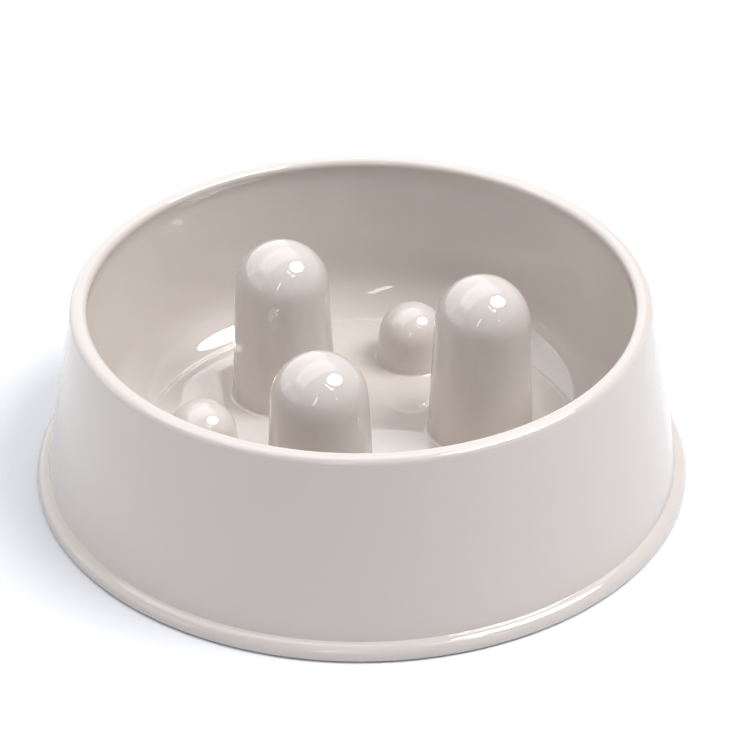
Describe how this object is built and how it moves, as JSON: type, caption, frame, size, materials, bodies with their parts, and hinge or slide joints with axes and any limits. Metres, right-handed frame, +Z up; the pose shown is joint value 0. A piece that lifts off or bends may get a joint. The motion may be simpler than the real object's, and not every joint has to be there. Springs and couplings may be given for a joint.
{
  "type": "slow feeder bowl",
  "caption": "round pet feeding bowl with a flared skirt, rolled rim and toe bead, and tall and short domed posts on its floor that slow eating, on rubber feet",
  "frame": {"origin": "on the table surface, under the middle of the bowl: centre of the bounding box in X and Y, lowest point in Z", "axes": "+Z up out of the bowl; +X runs from the middle through one tall post; +Y completes the right-handed frame"},
  "size_m": [0.23, 0.23, 0.0694],
  "materials": {
    "bowl_plastic": "injection-moulded ABS, warm off-white, polished mould, high gloss",
    "foot_rubber": "moulded soft rubber, dark grey, fine matt"
  },
  "bodies": {
    "root": {"bowl": "bowl_plastic", "rubber_foot_1": "foot_rubber", "rubber_foot_2": "foot_rubber", "rubber_foot_3": "foot_rubber", "rubber_foot_4": "foot_rubber"}
  },
  "joints": []
}
